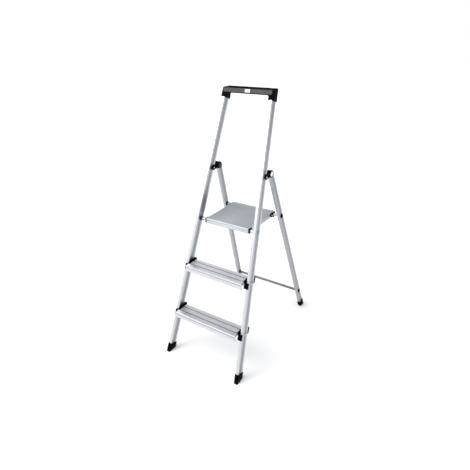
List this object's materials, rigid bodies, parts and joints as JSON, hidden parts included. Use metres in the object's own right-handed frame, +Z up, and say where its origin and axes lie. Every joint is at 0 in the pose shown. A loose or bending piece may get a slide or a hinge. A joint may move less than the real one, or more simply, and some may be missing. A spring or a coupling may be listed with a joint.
{
  "type": "folding stepladder",
  "caption": "Free-standing folding household stepladder with flat treads, a standing platform and a high safety rail with a tray on top.",
  "frame": {"origin": "on the floor, at the centre of the open ladder's box", "axes": "+X to the right of someone who faces the treads, +Y from the treads to the rear legs, +Z up"},
  "size_m": [0.431, 0.7404, 1.242],
  "materials": {
    "aluminium": "extruded, satin",
    "ribbed_aluminium": "finely ribbed, satin",
    "zinc_plated_steel": "zinc plated",
    "black_plastic": "moulded, fine grain",
    "dark_grey_plastic": "moulded, fine grain",
    "white_label": "plain sticker with no print"
  },
  "bodies": {
    "front_frame": {"front_stile_left": "aluminium", "front_stile_right": "aluminium", "front_foot_left": "black_plastic", "front_foot_right": "black_plastic", "tread_lower": "aluminium", "tread_upper": "aluminium", "tread_cap_lower_left": "black_plastic", "tread_cap_lower_right": "black_plastic", "tread_cap_upper_left": "black_plastic", "tread_cap_upper_right": "black_plastic", "tread_screw_lower_left_front": "zinc_plated_steel", "tread_screw_lower_left_rear": "zinc_plated_steel", "tread_screw_lower_right_front": "zinc_plated_steel", "tread_screw_lower_right_rear": "zinc_plated_steel", "tread_screw_upper_left_front": "zinc_plated_steel", "tread_screw_upper_left_rear": "zinc_plated_steel", "tread_screw_upper_right_front": "zinc_plated_steel", "tread_screw_upper_right_rear": "zinc_plated_steel", "safety_bow": "black_plastic", "blank_label": "white_label", "bow_rivet_left": "zinc_plated_steel", "bow_rivet_right": "zinc_plated_steel", "hinge_bracket_left": "black_plastic", "hinge_bracket_right": "black_plastic", "hinge_pin_left": "aluminium", "hinge_pin_right": "aluminium", "hinge_cap_left": "dark_grey_plastic", "hinge_cap_right": "dark_grey_plastic", "bracket_rivet_left": "zinc_plated_steel", "bracket_rivet_right": "zinc_plated_steel", "platform_pivot_rod": "zinc_plated_steel", "pivot_rod_washer_left": "black_plastic", "pivot_rod_washer_right": "black_plastic"},
    "rear_frame": {"rear_leg_left": "aluminium", "rear_leg_right": "aluminium", "rear_foot_left": "black_plastic", "rear_foot_right": "black_plastic", "leg_knuckle_left": "black_plastic", "leg_knuckle_right": "black_plastic", "platform_support_rod": "zinc_plated_steel", "platform_support_rod_cap_left": "black_plastic", "platform_support_rod_cap_right": "black_plastic", "platform_support_rod_washer_left": "black_plastic", "platform_support_rod_washer_right": "black_plastic", "lower_cross_tube": "zinc_plated_steel", "lower_cross_tube_cap_left": "black_plastic", "lower_cross_tube_cap_right": "black_plastic", "lower_cross_tube_washer_left": "black_plastic", "lower_cross_tube_washer_right": "black_plastic"},
    "platform_frame": {"platform": "ribbed_aluminium", "platform_bearing_left": "black_plastic", "platform_bearing_right": "black_plastic", "platform_hook_left": "black_plastic", "platform_hook_right": "black_plastic", "hook_rivet_left": "zinc_plated_steel", "hook_rivet_right": "zinc_plated_steel"}
  },
  "joints": [
    {"name": "rear_legs_fold", "type": "hinge", "parent": "front_frame", "child": "rear_frame", "pos_m": [0, 0.006, 0.886], "axis": [-1, 0, 0], "range_deg": [0, 39]},
    {"name": "platform_lift", "type": "hinge", "parent": "front_frame", "child": "platform_frame", "pos_m": [0, -0.118, 0.648], "axis": [1, 0, 0], "range_deg": [0, 71.4]}
  ],
  "couplings": [
    {"joint": "platform_lift", "follows": "rear_legs_fold", "ratio": 1.827}
  ]
}
